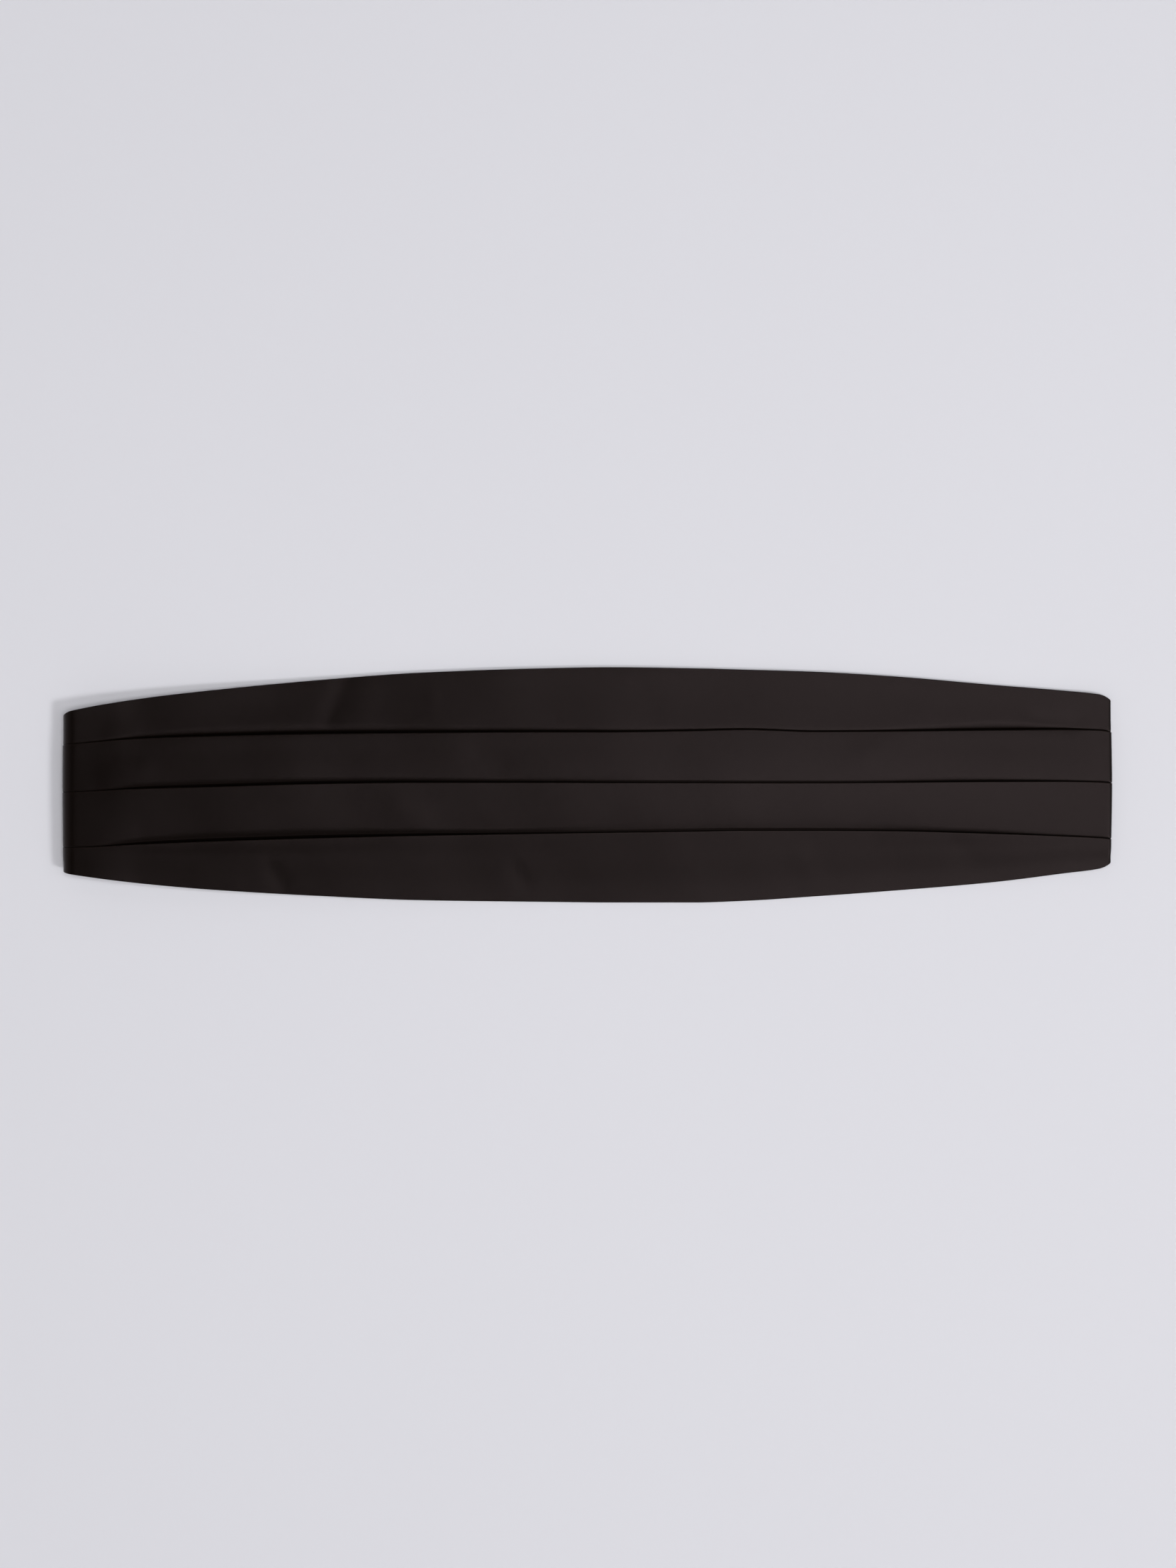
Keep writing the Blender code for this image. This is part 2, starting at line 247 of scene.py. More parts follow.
def elasticMaterial():
    made, tree, shader = startMaterial("woven black elastic")
    uv = tree.nodes.new("ShaderNodeUVMap")
    uv.uv_map = "cloth"
    uneven = placeGroup(tree, unevenTone, Place=uv.outputs[0], Per_metre=60.0, Spread=0.15)
    threads = placeGroup(tree, clothThreads, UV=uv.outputs[0], Thread=elasticFinish["rib"], Slub=0.4)
    # Painted shade: the elastic's colour is darker in the hollows between its ribs and lighter on their
    # tops
    ribHollowShade = addMath(tree, "ADD", addMath(tree, "MULTIPLY", threads.outputs["Height"], 0.35), 0.85)
    shade = addMath(tree, "MULTIPLY", uneven.outputs["Factor"], ribHollowShade)
    tree.links.new(tinted(tree, elasticFinish["colour"], shade), shader.inputs["Base Color"])
    rough = addMath(tree, "MULTIPLY", uneven.outputs["Factor"], elasticFinish["roughness"])
    tree.links.new(rough, shader.inputs["Roughness"])
    bump = tree.nodes.new("ShaderNodeBump")
    bump.inputs["Strength"].default_value = elasticFinish["bumpStrength"]
    bump.inputs["Distance"].default_value = elasticFinish["ribRelief"]
    tree.links.new(threads.outputs["Height"], bump.inputs["Height"])
    tree.links.new(bump.outputs[0], shader.inputs["Normal"])
    shader.inputs["Specular IOR Level"].default_value = elasticFinish["specular"]
    shader.inputs["Sheen Weight"].default_value = elasticFinish["sheen"]
    return made


claspFinish = {
    "colour": (0.115, 0.113, 0.118),
    "roughness": 0.30,
    "brush": 0.00012,  # width of one brushed line
    "brushStretch": 40,  # how many widths long it is
    "easedEdge": 0.0002,
}


def claspMaterial():
    made, tree, shader = startMaterial("black nickel")
    where = tree.nodes.new("ShaderNodeTexCoord")
    uneven = placeGroup(tree, unevenTone, Place=where.outputs["Object"], Per_metre=150.0, Spread=0.12)
    lines = tree.nodes.new("ShaderNodeMapping")
    perMetre = 1 / claspFinish["brush"]
    lines.inputs["Scale"].default_value = (perMetre / claspFinish["brushStretch"], perMetre, perMetre)
    tree.links.new(where.outputs["Object"], lines.inputs["Vector"])
    brushed = placeGroup(tree, unevenTone, Place=lines.outputs[0], Per_metre=1.0, Spread=0.35)
    base = tinted(tree, claspFinish["colour"], uneven.outputs["Factor"])
    tree.links.new(base, shader.inputs["Base Color"])
    rough = addMath(tree, "MULTIPLY", brushed.outputs["Factor"], claspFinish["roughness"])
    tree.links.new(rough, shader.inputs["Roughness"])
    shader.inputs["Metallic"].default_value = 1.0
    return made


silk = silkMaterial()
elastic = elasticMaterial()
nickel = claspMaterial()
print("materials made")


# A length of cloth from a flat grid, laid row by row. Its UV map is the flat cloth in metres.
def layCloth(name, places, flats, thickness, finish, edgeMarks=None):
    across, along = len(places[0]), len(places)
    cloth = bmesh.new()
    bmesh.ops.create_grid(cloth, x_segments=across - 1, y_segments=along - 1, size=0.5)
    uvLayer = cloth.loops.layers.uv.new("cloth")
    marks = cloth.verts.layers.float.new("foldEdge")
    gridPlace = {}
    for vert in cloth.verts:
        column = round((vert.co.x + 0.5) * (across - 1))
        row = round((vert.co.y + 0.5) * (along - 1))
        gridPlace[vert] = (row, column)
    for vert, (row, column) in gridPlace.items():
        vert.co = places[row][column]
        vert[marks] = edgeMarks[column] if edgeMarks else 0.0
    for face in cloth.faces:
        face.smooth = True
        for loop in face.loops:
            row, column = gridPlace[loop.vert]
            loop[uvLayer].uv = flats[row][column]
    mesh = bpy.data.meshes.new(name)
    cloth.to_mesh(mesh)
    cloth.free()
    mesh.materials.append(finish)
    piece = bpy.data.objects.new(name, mesh)
    bpy.context.scene.collection.objects.link(piece)
    wall = piece.modifiers.new("cloth thickness", "SOLIDIFY")
    wall.thickness = thickness
    wall.offset = 0.0
    return piece


def easeEdges(piece, width, angle):
    eased = piece.modifiers.new("eased edges", "BEVEL")
    eased.width = width
    eased.segments = 2
    eased.limit_method = "ANGLE"
    eased.angle_limit = math.radians(angle)


pleatedSilk = {
    "leftReach": 0.2894,  # from the middle to each end as laid
    "rightReach": 0.290,
    "leftHeight": 0.012,  # how high the folded ends stand
    "rightHeight": 0.0044,
    "returnLength": 0.060,  # folded under each end
    "cloth": 0.00026,
    "pressedPitch": 0.00029,  # from one layer to the next where the ends are pressed
    "hem": 0.010,
    "hemShare": 0.4,
    "hemEdgeReach": 0.004,  # beyond this the hem lies looser than at its pressed edge
    "hemSlack": 0.004,
    "creasePitch": 0.00031,  # from one layer to the other in a pressed fold's edge
    "foldReach": 0.012,  # how far down from its edge an open fold lies loose
    "underReach": 0.008,  # how far under the fold the cloth beneath it sinks
    "sinkShare": 0.85,  # of a fold's opening, what the cloth beneath it sinks
    "openSlope": 0.28,  # of the cloth beside an open fold, and beside a closed one
    "closedSlope": 0.045,
    "wideOpen": 0.0012,  # from this opening on, the slope is the open one
    "ledge": 0.0001,  # flat gap beside a closed fold, and its share of an opening
    "ledgeShare": 0.2,
    "step": 0.0004,  # run of the steep step beside a closed fold, and its share of an opening
    "stepShare": 0.4,
    "edgeStrip": 0.0016,  # pressed flat beside a fold's edge
    "edgeWearAndHighlightReach": 0.0010,  # painted paler from here, as wear and as a painted highlight, and fully from half of this
    "behindEdge": 0.0004,  # where the cloth behind a fold leaves its edge
    "tuck": 0.0005,  # how far under a fold's edge the next band starts
    "firstRise": 0.6,  # of the lowest band, over which its face comes up from the hem
    "bandSlack": 0.001,
    "settleReach": 0.020,  # the creases fade out this far before each end fold
    "runStep": 0.0023,
    "leftTurnRows": 16,
    "rightTurnRows": 12,
    "returnRows": 8,
}
pressedPanel = pleatedSilk["cloth"] + 2 * pleatedSilk["pressedPitch"]


def endFold(reach, height):
    radius = height / 2
    x = reach - radius
    arc = math.pi * (radius - pressedPanel / 2)
    clothEnd = x + arc + pleatedSilk["returnLength"]
    return {"x": x, "arc": arc, "silhouette": x + arc / 2, "clothEnd": clothEnd}


leftFold = endFold(pleatedSilk["leftReach"], pleatedSilk["leftHeight"])
rightFold = endFold(pleatedSilk["rightReach"], pleatedSilk["rightHeight"])

# Where the hems and the three pleat folds lie, at each distance along the cloth
outline = {
    "columns": ("along", "top", "fold1", "fold2", "fold3", "bottom"),
    "rows": (
        (-leftFold["clothEnd"] / mm, 34.0, 17.0, -3.9, -26.5, -41.0),
        (-leftFold["silhouette"] / mm, 38.2, 21.7, -4.1, -34.3, -47.8),
        (-284.0, 40.8, 22.4, -3.9, -34.4, -49.3),
        (-246.0, 47.5, 25.5, -2.1, -32.7, -54.3),
        (-207.0, 52.2, 26.8, -1.1, -31.1, -57.8),
        (-148.0, 57.9, 28.1, 0.6, -29.3, -61.3),
        (-92.0, 62.0, 28.7, 1.3, -28.0, -63.7),
        (-20.0, 64.5, 29.2, 1.3, -26.8, -64.7),
        (12.0, 65.0, 29.2, 1.2, -26.3, -65.0),
        (60.0, 64.4, 29.9, 1.2, -25.6, -65.0),
        (87.0, 63.7, 30.5, 1.1, -25.2, -64.1),
        (126.0, 62.5, 29.4, 1.1, -25.2, -61.6),
        (165.0, 60.3, 29.6, 1.3, -25.4, -58.8),
        (224.0, 55.3, 30.2, 1.8, -26.9, -53.8),
        (263.0, 52.1, 30.5, 1.9, -28.3, -48.9),
        (283.7, 49.9, 30.1, 1.5, -29.3, -46.1),
        (rightFold["silhouette"] / mm, 46.6, 29.0, 1.1, -29.8, -43.0),
        (rightFold["clothEnd"] / mm, 39.0, 22.5, 1.1, -22.5, -37.0),
    ),
}

# How high the garment's face stands over the table
heights = {
    "columns": ("along", "topHem", "middle", "bottomHem"),
    "rows": (
        (-284.0, 11.6, 12.0, 11.5),
        (-262.0, 10.4, 11.5, 10.6),
        (-246.0, 9.1, 10.9, 9.6),
        (-207.0, 7.0, 9.3, 7.6),
        (-167.0, 4.8, 7.8, 5.8),
        (-128.0, 3.8, 6.5, 4.3),
        (-89.0, 3.5, 5.75, 3.3),
        (-50.0, 3.2, 5.4, 2.6),
        (0.0, 2.9, 5.15, 2.1),
        (50.0, 2.8, 5.1, 1.9),
        (85.0, 2.7, 5.2, 1.8),
        (130.0, 2.6, 5.1, 1.8),
        (180.0, 2.4, 4.9, 1.9),
        (226.0, 2.4, 4.7, 2.3),
        (260.0, 2.8, 4.5, 2.9),
        (rightFold["x"] / mm, 3.4, 4.4, 3.4),
    ),
}

# How far each fold stands open over the cloth that passes under it, over what width that cloth
# comes up again beside the fold, and the pitch of the pressed layers
openness = {
    "columns": ("along", "fold1", "dip1", "fold2", "dip2", "fold3", "dip3", "pitch"),
    "rows": (
        (-284.0, 0.0, 3.0, 0.0, 3.0, 0.0, 3.0, 0.29),
        (-270.0, 0.15, 3.0, 0.1, 3.0, 0.2, 3.0, 0.29),
        (-261.0, 0.5, 3.0, 0.5, 3.4, 0.7, 3.6, 0.30),
        (-246.0, 1.1, 4.0, 1.3, 4.4, 1.4, 5.0, 0.33),
        (-226.0, 1.6, 5.4, 1.7, 5.6, 1.9, 6.4, 0.37),
        (-207.0, 1.9, 6.2, 1.8, 6.4, 2.0, 6.6, 0.40),
        (-167.0, 2.1, 6.6, 1.9, 5.6, 2.0, 6.6, 0.40),
        (-109.0, 1.8, 5.6, 1.6, 4.2, 1.7, 5.2, 0.40),
        (-50.0, 1.2, 4.2, 1.0, 3.2, 1.0, 3.4, 0.40),
        (0.0, 0.9, 3.4, 0.6, 5.0, 0.4, 5.0, 0.40),
        (40.0, 0.6, 3.4, 0.2, 6.6, 0.2, 6.6, 0.39),
        (67.0, 0.5, 3.4, 0.1, 7.0, 0.2, 7.0, 0.38),
        (105.0, 0.3, 3.0, 0.0, 7.0, 0.1, 7.0, 0.37),
        (145.0, 0.3, 3.0, 0.1, 6.0, 0.2, 6.0, 0.37),
        (184.0, 0.8, 3.6, 0.6, 4.0, 0.5, 4.0, 0.38),
        (223.0, 1.2, 5.8, 0.8, 3.2, 0.6, 3.0, 0.38),
        (245.0, 1.1, 4.6, 0.6, 3.0, 0.3, 3.0, 0.36),
        (263.0, 0.8, 3.6, 0.3, 3.0, 0.15, 3.0, 0.33),
        (274.0, 0.3, 3.0, 0.1, 3.0, 0.05, 3.0, 0.30),
        (287.8, 0.0, 3.0, 0.0, 3.0, 0.0, 3.0, 0.29),
    ),
}

# Troughs and swells in the cloth: from (x, y) to (x, y), half width, height
creases = (
    (-134.0, 57.0, -143.0, 36.0, 5.5, -0.20),
    (-119.0, 55.0, -124.0, 38.0, 6.0, 0.08),
    (-174.0, -46.0, -168.0, -56.0, 5.0, -0.18),
    (-212.0, -50.0, -196.0, -53.0, 7.0, 0.12),
    (-263.0, 6.0, -244.0, 9.0, 6.0, 0.14),
    (-266.0, -27.5, -252.0, -27.0, 4.0, 0.12),
    (-258.0, 31.0, -250.0, 31.0, 5.0, 0.12),
    (-262.0, 16.0, -246.0, 15.5, 2.5, -0.08),
    (250.0, 36.0, 270.0, 34.5, 4.5, -0.30),
    (28.0, 52.0, 38.0, 46.0, 4.0, -0.12),
    (-40.0, -46.0, -34.0, -54.0, 4.0, -0.16),
    (-86.0, 51.0, -85.0, 45.0, 3.0, 0.10),
    (176.0, 52.0, 180.0, 47.0, 4.0, -0.12),
    (118.0, -40.0, 124.0, -52.0, 6.0, 0.14),
    (206.0, -34.0, 214.0, -46.0, 7.0, -0.14),
    (-60.0, 17.0, -48.0, 12.0, 6.0, -0.12),
    (-104.0, -12.0, -92.0, -18.0, 7.0, 0.14),
    (150.0, 14.0, 160.0, 20.0, 6.0, 0.12),
)

creaseReach = 0.045  # past this a crease changes nothing

# Long, low waves: length along x and y, phase, height
waves = (
    (190.0, 260.0, 0.7, 0.16),
    (83.0, -140.0, 2.1, 0.06),
    (47.0, 95.0, 4.0, 0.03),
)


def creaseLift(x, y):
    total = 0.0
    for x1, y1, x2, y2, width, height in creases:
        if abs(x - x1 * mm) > creaseReach:
            continue
        runX, runY = (x2 - x1) * mm, (y2 - y1) * mm
        share = ((x - x1 * mm) * runX + (y - y1 * mm) * runY) / (runX * runX + runY * runY)
        share = min(1.0, max(0.0, share))
        off = math.hypot(x - x1 * mm - runX * share, y - y1 * mm - runY * share) / (width * mm)
        total += height * mm * math.exp(-off * off)
    for lengthX, lengthY, phase, height in waves:
        turn = 2 * math.pi * (x / (lengthX * mm) + y / (lengthY * mm)) + phase
        total += height * mm * math.sin(turn)
    return total


cutAt = {name: curveOf(outline, name) for name in outline["columns"][1:]}
heightAt = {name: curveOf(heights, name) for name in heights["columns"][1:]}
openAt = {name: curveOf(openness, name) for name in openness["columns"][1:]}


def faceHeight(along, across, cut):
    hem, edge = ("topHem", cut["top"]) if across > 0 else ("bottomHem", cut["bottom"])
    return blendTo(heightAt["middle"](along), heightAt[hem](along), smoothStep(abs(across / edge)))


# Where a point of the cloth lies, with its lift measured outwards from the panel's inner face
def layPoint(along, across, lift, cut):
    side = math.copysign(1.0, along)
    end = leftFold if along < 0 else rightFold
    beyond = abs(along) - end["x"]
    depth = pleatedSilk["cloth"] + 2 * openAt["pitch"](along) - lift
    if beyond <= 0:
        settle = smoothStep(-beyond / pleatedSilk["settleReach"])
        z = faceHeight(along, across, cut) - depth + settle * creaseLift(along, across)
        return Vector((along, across, z))
    radius = faceHeight(side * end["x"], across, cut) / 2
    if beyond < end["arc"]:
        turn = math.pi * beyond / end["arc"]
        reach = radius - depth
        return Vector((side * (end["x"] + reach * math.sin(turn)), across, radius + reach * math.cos(turn)))
    return Vector((side * (end["x"] - (beyond - end["arc"])), across, depth))


# Points of the cloth's middle line are (across, lift, mark), where a mark of 1 is a pressed fold edge
def layer(start, end, startLift, endLift, count):
    shares = [k / count for k in range(count)]
    return [(blendTo(start, end, share), blendTo(startLift, endLift, share), 0.0) for share in shares]


# Half a turn of cloth whose outermost point is at a height on the garment; facing 1 opens downwards
def hairpin(edge, fromLift, toLift, facing, count, mark=0.0):
    radius = abs(toLift - fromLift) / 2
    centre = edge - facing * (radius + pleatedSilk["cloth"] / 2)
    middle = (fromLift + toLift) / 2
    points = []
    for k in range(count):
        angle = math.pi * k / (count - 1)
        lift = middle + (fromLift - middle) * math.cos(angle)
        points.append((centre + facing * radius * math.sin(angle), lift, mark))
    return points


# Cloth that comes up from under a fold: a narrow gap, a steep step, then a long easy slope
def climbOut(fold, opened, dip, startLift, endLift):
    openShare = smoothStep(opened / pleatedSilk["wideOpen"])
    slope = blendTo(pleatedSilk["closedSlope"], pleatedSilk["openSlope"], openShare)
    ledge = fold + pleatedSilk["ledge"] + pleatedSilk["ledgeShare"] * opened
    foot = ledge + pleatedSilk["step"] + pleatedSilk["stepShare"] * opened
    footLift = endLift - slope * (fold + dip - foot) / 2
    points = [(ledge, startLift, 0.0)]
    for share in (0.35, 0.7, 1.0):
        points.append((blendTo(ledge, foot, share), blendTo(startLift, footLift, share), 0.0))
    for k in range(1, 7):
        share = k / 6
        lift = blendTo(endLift, footLift, (1 - share) ** 2)
        points.append((blendTo(foot, fold + dip, share), lift, 0.0))
    return points


# The middle line of the cloth across the garment, from hem to hem
def pleatSection(along, cut):
    pitch = openAt["pitch"](along)
    low = pleatedSilk["cloth"] / 2
    second = low + pitch
    high = second + pitch
    folds = [cut["fold3"], cut["fold2"], cut["fold1"]]
    opens = [openAt[name](along) for name in ("fold3", "fold2", "fold1")]
    dips = [openAt[name](along) for name in ("dip3", "dip2", "dip1")]
    bottomBand = folds[0] - cut["bottom"]
    bottomHem = min(pleatedSilk["hem"], pleatedSilk["hemShare"] * bottomBand)
    depths = [bottomBand - bottomHem - pleatedSilk["hemSlack"]]
    for below, fold, dip in zip(folds, folds[1:], dips):
        depths.append(fold - below - dip - pleatedSilk["bandSlack"])

    # bottom hem
    hemLift = low + pleatedSilk["creasePitch"]
    radius = pleatedSilk["creasePitch"] / 2 + low
    edgeReach = min(pleatedSilk["hemEdgeReach"], 0.2 * bottomBand)
    line = layer(cut["bottom"] + bottomHem, cut["bottom"] + radius, low, low, 3)
    line += hairpin(cut["bottom"], low, hemLift, -1, 7, 0.6)
    start = cut["bottom"] + radius
    for share in (0.06, 0.2, 0.4, 0.7, 1.0):
        line.append((start + edgeReach * share, blendTo(hemLift, second, smoothStep(share)), 0.0))

    bandStart, startLift = start + edgeReach, second
    for number, (fold, depth, opened) in enumerate(zip(folds, depths, opens)):
        sunk = opened * pleatedSilk["sinkShare"]
        edgeLift = high + opened - sunk
        # up the band's face
        band = fold - bandStart
        if number:
            line += climbOut(folds[number - 1], opens[number - 1], dips[number - 1], startLift, high)
        else:
            for share in (0.2, 0.4, 0.6, 0.8, 1.0):
                lift = blendTo(startLift, high, smoothStep(share))
                line.append((bandStart + pleatedSilk["firstRise"] * band * share, lift, 0.0))
        faceTo = fold - min(pleatedSilk["foldReach"], 0.35 * band)
        faceEnd = fold - pleatedSilk["edgeStrip"]
        line += layer(line[-1][0], faceTo, high, high, 5)[1:]
        for share in (0.0, 0.25, 0.5, 0.75, 1.0):
            line.append((blendTo(faceTo, faceEnd, share), blendTo(high, edgeLift, smoothStep(share)), 0.0))
        # Marks that paint the fold's edge paler, as wear and as a painted highlight
        line.append((fold - pleatedSilk["edgeWearAndHighlightReach"], edgeLift, 0.5))
        line.append((fold - pleatedSilk["edgeWearAndHighlightReach"] / 2, edgeLift, 1.0))
        # round the fold, down behind it, and up again
        crease = edgeLift - pleatedSilk["creasePitch"]
        line += hairpin(fold, edgeLift, crease, 1, 7, 1.0)
        behind = fold - pleatedSilk["behindEdge"]
        for share in (0.3, 0.6, 1.0):
            lift = blendTo(crease, second, smoothStep(share))
            line.append((behind - 0.25 * depth * share, lift, 0.0))
        line.append((fold - 0.7 * depth, second, 0.0))
        line += hairpin(fold - depth, second, low, -1, 5)
        under = min(pleatedSilk["underReach"], 0.5 * depth)
        line.append((fold - 0.8 * depth, low, 0.0))
        bandStart, startLift = fold - pleatedSilk["tuck"], low - sunk
        for share in (0.0, 0.3, 0.65, 1.0):
            lift = blendTo(low, startLift, smoothStep(share))
            line.append((blendTo(fold - under, bandStart, share), lift, 0.0))

    # the top band and its hem
    topBand = cut["top"] - folds[-1]
    topHem = min(pleatedSilk["hem"], pleatedSilk["hemShare"] * topBand)
    line += climbOut(folds[-1], opens[-1], dips[-1], startLift, second)
    edgeReach = min(pleatedSilk["hemEdgeReach"], 0.2 * topBand)
    faceTo = cut["top"] - radius - edgeReach
    line += layer(folds[-1] + dips[-1], faceTo, second, second, 6)[1:]
    for share in (1.0, 0.7, 0.4, 0.2, 0.06):
        lift = blendTo(hemLift, second, smoothStep(share))
        line.append((cut["top"] - radius - edgeReach * share, lift, 0.0))
    line += hairpin(cut["top"], hemLift, low, 1, 7, 0.6)
    line += layer(cut["top"] - radius, cut["top"] - topHem, low, low, 3)[1:]
    line.append((cut["top"] - topHem, low, 0.0))
    return line


def spread(start, end, count):
    return [blendTo(start, end, k / count) for k in range(count)]


def alongPlaces():
    run = round((leftFold["x"] + rightFold["x"]) / pleatedSilk["runStep"])
    places = spread(-leftFold["clothEnd"], -leftFold["x"] - leftFold["arc"], pleatedSilk["returnRows"])
    places += spread(-leftFold["x"] - leftFold["arc"], -leftFold["x"], pleatedSilk["leftTurnRows"])
    places += spread(-leftFold["x"], rightFold["x"], run)
    places += spread(rightFold["x"], rightFold["x"] + rightFold["arc"], pleatedSilk["rightTurnRows"])
    places += spread(rightFold["x"] + rightFold["arc"], rightFold["clothEnd"], pleatedSilk["returnRows"])
    return places + [rightFold["clothEnd"]]


def makePleatedFront():
    places, flats = [], []
    for along in alongPlaces():
        cut = {name: curve(along) for name, curve in cutAt.items()}
        line = pleatSection(along, cut)
        row, flat, length, last = [], [], 0.0, None
        for across, lift, mark in line:
            if last:
                length += math.hypot(across - last[0], lift - last[1])
            last = (across, lift)
            row.append(layPoint(along, across, lift, cut))
            flat.append((along, length))
        places.append(row)
        flats.append(flat)
    length = flats[-1][0][0] - flats[0][0][0]
    edgeMarks = [mark for across, lift, mark in line]
    piece = layCloth("pleatedFront", places, flats, pleatedSilk["cloth"], silk, edgeMarks)
    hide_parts("pleated_front")
    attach(piece, "root")


strapElastic = {
    "width": 0.030,
    "middleY": -0.001,
    "thickness": 0.0010,
    "lap": 0.022,  # sewn onto the folded-under end
    "turnBack": 0.020,  # doubled behind the clasp
    "dropLength": 0.014,
    "bar": 0.003,
    "barHeight": 0.0019,  # middle of the clasp's bars over the table
    "gap": 0.0003,
    "sewnGap": 0.0002,  # under its lap
    "rampEnd": 0.0085,  # from the bar to where the doubled strap lies flat
    "easedEdge": 0.0002,
    "step": 0.004,
}
claspX = 0.085
barReach = 0.0175  # from the clasp's middle to each strap's bar
hookBarX = claspX - barReach
eyeBarX = claspX + barReach


# The strap's middle line as (x, z), from its sewn end to its tip behind the clasp
def strapPath(tipX, side, barX):
    half = strapElastic["thickness"] / 2
    lapped = pressedPanel + strapElastic["sewnGap"] + half
    pitch = strapElastic["thickness"] + strapElastic["gap"]
    path = [(tipX + side * strapElastic["lap"], lapped)]
    path.append((tipX, lapped))
    for k in range(1, 9):
        share = k / 8
        x = tipX - side * strapElastic["dropLength"] * share
        path.append((x, blendTo(lapped, half, smoothStep(share))))
    turned = barX + side * strapElastic["turnBack"]
    path.append((turned, half))
    path.append((barX + side * strapElastic["bar"], half))
    reach = strapElastic["barHeight"] - half
    inner = barX - side * strapElastic["bar"] / 2
    for k in range(9):
        angle = math.pi * (k / 8 - 0.5)
        x = inner - side * (strapElastic["gap"] + half) * math.cos(angle)
        path.append((x, strapElastic["barHeight"] + reach * math.sin(angle)))
    path.append((barX + side * strapElastic["bar"] / 2, strapElastic["barHeight"] + reach))
    for k in range(1, 7):
        share = k / 6
        x = barX + side * blendTo(strapElastic["bar"] / 2, strapElastic["rampEnd"], share)
        path.append((x, blendTo(strapElastic["barHeight"] + reach, half + pitch, smoothStep(share))))
    path.append((turned, half + pitch))
    return path


def makeStrap(name, node, tipX, side, barX):
    path = strapPath(tipX, side, barX)
    dense = [path[0]]
    for here, there in zip(path, path[1:]):
        count = max(1, math.ceil(math.dist(here, there) / strapElastic["step"]))
        for k in range(1, count + 1):
            dense.append((blendTo(here[0], there[0], k / count), blendTo(here[1], there[1], k / count)))
    half = strapElastic["width"] / 2
    shares = (-1.0, -0.96, -0.8, -0.6, -0.4, -0.2, 0.0, 0.2, 0.4, 0.6, 0.8, 0.96, 1.0)
    places, flats, length = [], [], 0.0
    for number, (x, z) in enumerate(dense):
        if number:
            length += math.dist(dense[number - 1], (x, z))
        places.append([Vector((x, strapElastic["middleY"] + half * share, z)) for share in shares])
        flats.append([(length, half * share) for share in shares])
    piece = layCloth(name, places, flats, strapElastic["thickness"], elastic)
    easeEdges(piece, strapElastic["easedEdge"], 50)
    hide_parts(node)
    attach(piece, "root")
    print(name, "cut", strapElastic["width"], "by", round(length, 4))


tipLeft = -(leftFold["x"] - pleatedSilk["returnLength"])
tipRight = rightFold["x"] - pleatedSilk["returnLength"]
makeStrap("strapLeft", "strap_left", tipLeft, -1, hookBarX)
makeStrap("strapRight", "strap_right", tipRight, 1, eyeBarX)
makePleatedFront()
print("cloth laid")

# The clasp keeps its CAD shape, with its edges eased
for node in ("clasp_hook", "clasp_eye"):
    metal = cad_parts[node]
    metal.data.materials.clear()
    metal.data.materials.append(nickel)
    easeEdges(metal, claspFinish["easedEdge"], 40)

stage = {
    "floorSize": 12.0,
    "floorColour": (0.768, 0.766, 0.816),
    "skyColour": (0.92, 0.90, 0.90),
    "skyStrength": 1.5,
    "skyDarken": 2.0,  # how fast it darkens towards overhead
    "skyFade": 0.4,  # and how fast it comes up from the dim horizon
    "skyLeast": 0.01,
    "skyLean": (-0.3, -0.2, 0.0),  # a little brighter to the left and the front
    "lamps": {
        "key": {"place": (7.56, -4.65, 8.37), "width": 2.4, "height": 2.4, "power": 505.0},
        "overhead": {"place": (0.45, 0.0, 2.05), "width": 1.15, "height": 0.86, "power": 3.95},
        "strip": {"place": (0.22, 0.0, 2.12), "width": 1.15, "height": 0.2, "power": 2.0},
        "right": {"place": (1.4, 0.0, 1.9), "width": 0.5, "height": 1.2, "power": 4.0},
        "left": {"place": (-1.75, 0.0, 1.9), "width": 0.6, "height": 1.2, "power": 1.0},
        "ceiling": {"place": (0.0, 0.0, 4.0), "width": 2.1, "height": 2.1, "power": 60.0, "inSheen": False},
    },
}


def floorMaterial():
    made, tree, shader = startMaterial("pale paper")
    where = tree.nodes.new("ShaderNodeTexCoord")
    uneven = placeGroup(tree, unevenTone, Place=where.outputs["Object"], Per_metre=2.0, Spread=0.01)
    base = tinted(tree, stage["floorColour"], uneven.outputs["Factor"])
    tree.links.new(base, shader.inputs["Base Color"])
    shader.inputs["Roughness"].default_value = 0.9
    shader.inputs["Specular IOR Level"].default_value = 0.1
    return made


floorMesh = bpy.data.meshes.new("floor")
plane = bmesh.new()
bmesh.ops.create_grid(plane, x_segments=1, y_segments=1, size=stage["floorSize"] / 2)
plane.to_mesh(floorMesh)
plane.free()
floorMesh.materials.append(floorMaterial())
floor = bpy.data.objects.new("floor", floorMesh)
bpy.context.scene.collection.objects.link(floor)

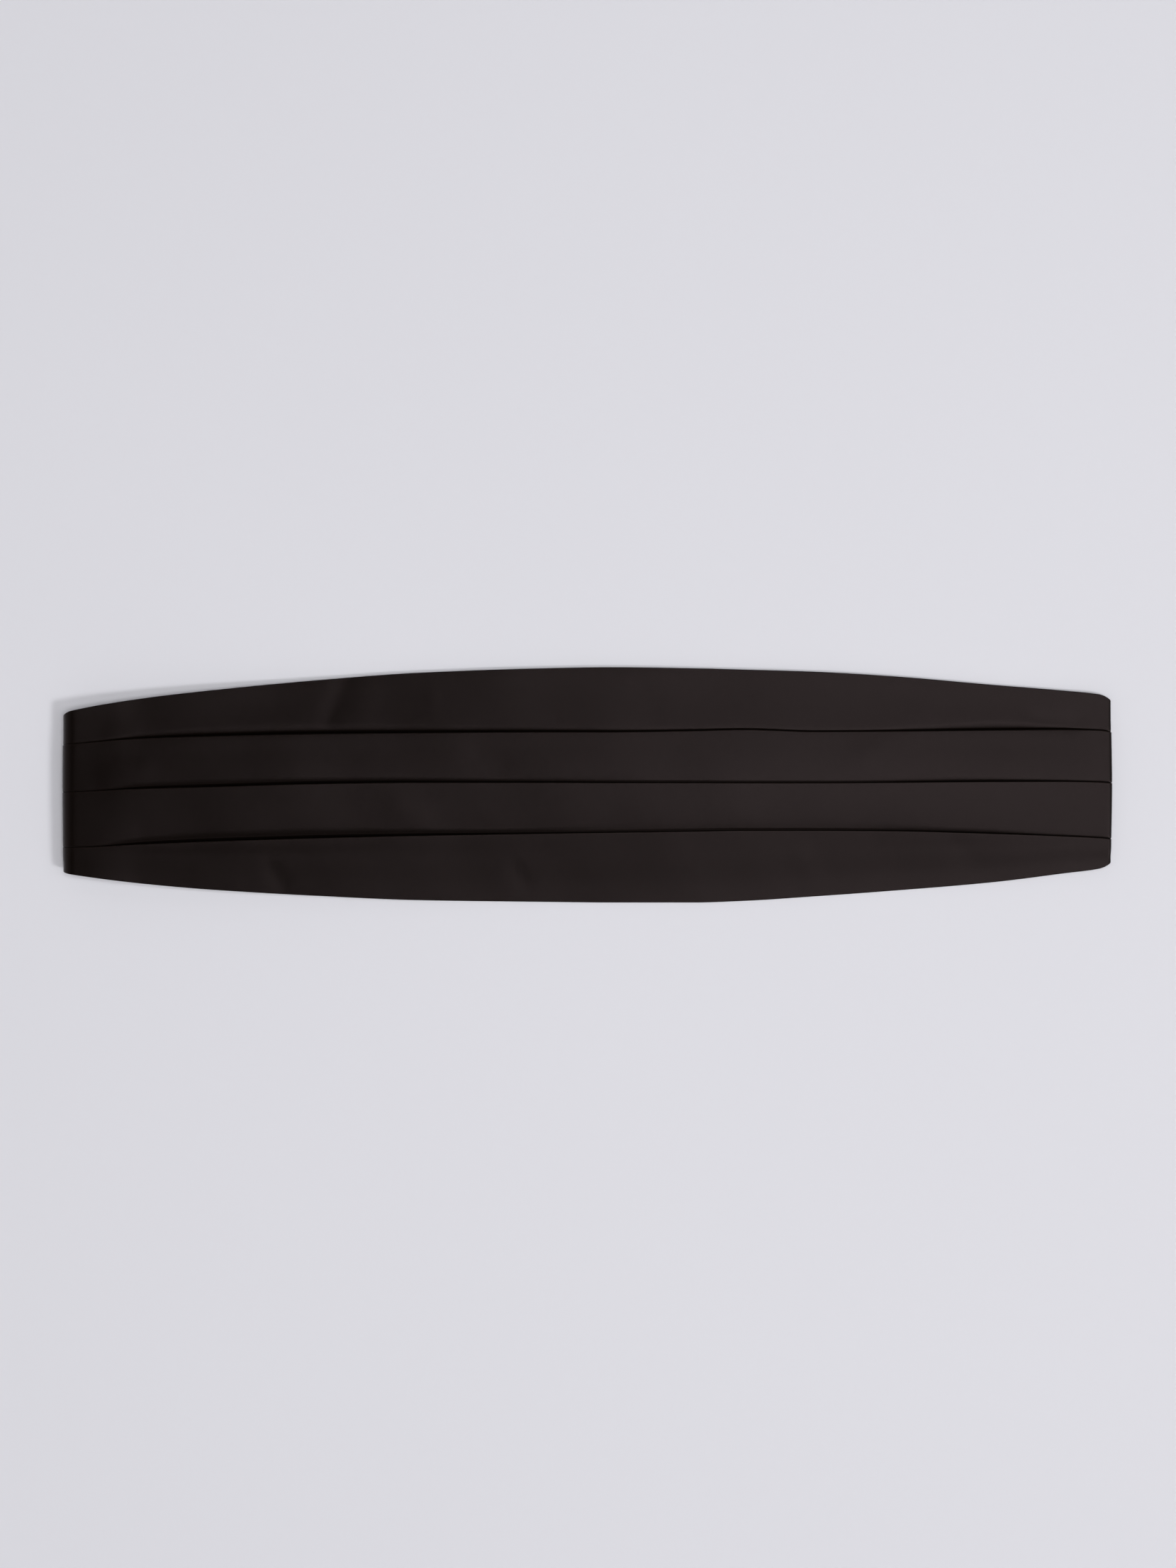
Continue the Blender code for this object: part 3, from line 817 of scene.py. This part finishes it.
world = bpy.data.worlds.new("studio")
bpy.context.scene.world = world
world.use_nodes = True
sky = world.node_tree
direction = sky.nodes.new("ShaderNodeTexCoord")
split = sky.nodes.new("ShaderNodeSeparateXYZ")
sky.links.new(direction.outputs["Generated"], split.inputs[0])
height = addMath(sky, "ABSOLUTE", split.outputs[2], 0)
darken = addMath(sky, "POWER", addMath(sky, "SUBTRACT", 1.0, height), stage["skyDarken"])
fade = addMath(sky, "POWER", height, stage["skyFade"])
lean = sky.nodes.new("ShaderNodeVectorMath")
lean.operation = "DOT_PRODUCT"
lean.inputs[1].default_value = stage["skyLean"]
sky.links.new(direction.outputs["Generated"], lean.inputs[0])
side = addMath(sky, "ADD", lean.outputs["Value"], 1.0)
glow = addMath(sky, "MULTIPLY", addMath(sky, "MULTIPLY", darken, fade), side)
glow = addMath(sky, "MULTIPLY", glow, stage["skyStrength"])
strength = addMath(sky, "ADD", glow, stage["skyLeast"])
background = sky.nodes["Background"]
background.inputs["Color"].default_value = (*stage["skyColour"], 1.0)
sky.links.new(strength, background.inputs["Strength"])


def softbox(name, values):
    lamp = bpy.data.lights.new(name, "AREA")
    lamp.shape = "RECTANGLE"
    lamp.size = values["width"]
    lamp.size_y = values["height"]
    lamp.energy = values["power"]
    holder = bpy.data.objects.new(name, lamp)
    bpy.context.scene.collection.objects.link(holder)
    holder.location = values["place"]
    holder.rotation_euler = (-Vector(values["place"])).to_track_quat("-Z", "Y").to_euler()
    holder.visible_glossy = values.get("inSheen", True)  # off where the silk shouldn't show the lamp


for lampName, lampValues in stage["lamps"].items():
    softbox(lampName, lampValues)

camera = {
    "lens": 85.0,
    "sensor": 36.0,  # the photograph's long side
    "frameHeight": 0.8651,
    "centre": (0.0004, 0.0005),
    "faceHeight": 0.005,
}
cameraData = bpy.data.cameras.new("camera")
cameraData.lens = camera["lens"]
cameraData.sensor_fit = "AUTO"
cameraData.sensor_width = camera["sensor"]
cameraObject = bpy.data.objects.new("camera", cameraData)
bpy.context.scene.collection.objects.link(cameraObject)
distance = camera["frameHeight"] * camera["lens"] / camera["sensor"]
cameraObject.location = (*camera["centre"], distance + camera["faceHeight"])
bpy.context.scene.camera = cameraObject
bpy.context.scene.view_settings.view_transform = "Standard"
print("stage and camera set")
